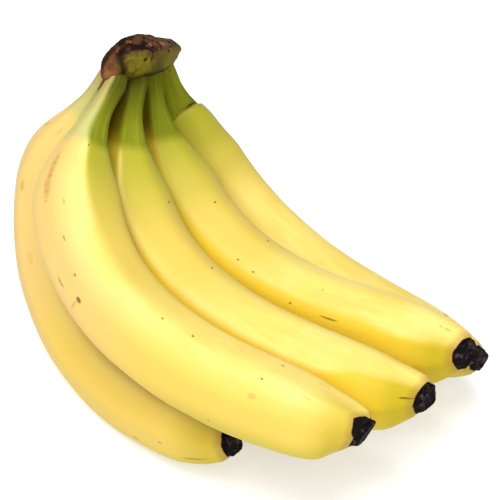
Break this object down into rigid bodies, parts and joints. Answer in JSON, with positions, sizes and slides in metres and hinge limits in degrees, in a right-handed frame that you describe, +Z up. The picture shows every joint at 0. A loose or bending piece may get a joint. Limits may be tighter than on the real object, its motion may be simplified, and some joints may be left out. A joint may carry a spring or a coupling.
{
  "type": "bunch of bananas",
  "caption": "Hand of ripe bananas: curved five-sided fingers whose necks grow from one woody crown, lying on the backs of the outer fingers.",
  "frame": {"origin": "on the surface that the bunch lies on, below the middle of its box", "axes": "+Z up, +X along the box's longest side, from the crown's side towards the tips, -Y the side the front finger is on"},
  "size_m": [0.2077, 0.1965, 0.1226],
  "materials": {
    "peel": "smooth waxy peel, yellow with green necks and fine brown flecks",
    "crown": "rough, dried brown cut over an olive flank",
    "dried": "matt black-brown, dried and cracked"
  },
  "bodies": {
    "root": {"crown": "crown", "finger_1": "peel", "finger_2": "peel", "finger_3": "peel", "finger_4": "peel", "finger_5": "peel", "blossom_end_1": "dried", "blossom_end_2": "dried", "blossom_end_3": "dried", "blossom_end_4": "dried", "blossom_end_5": "dried"}
  },
  "joints": []
}
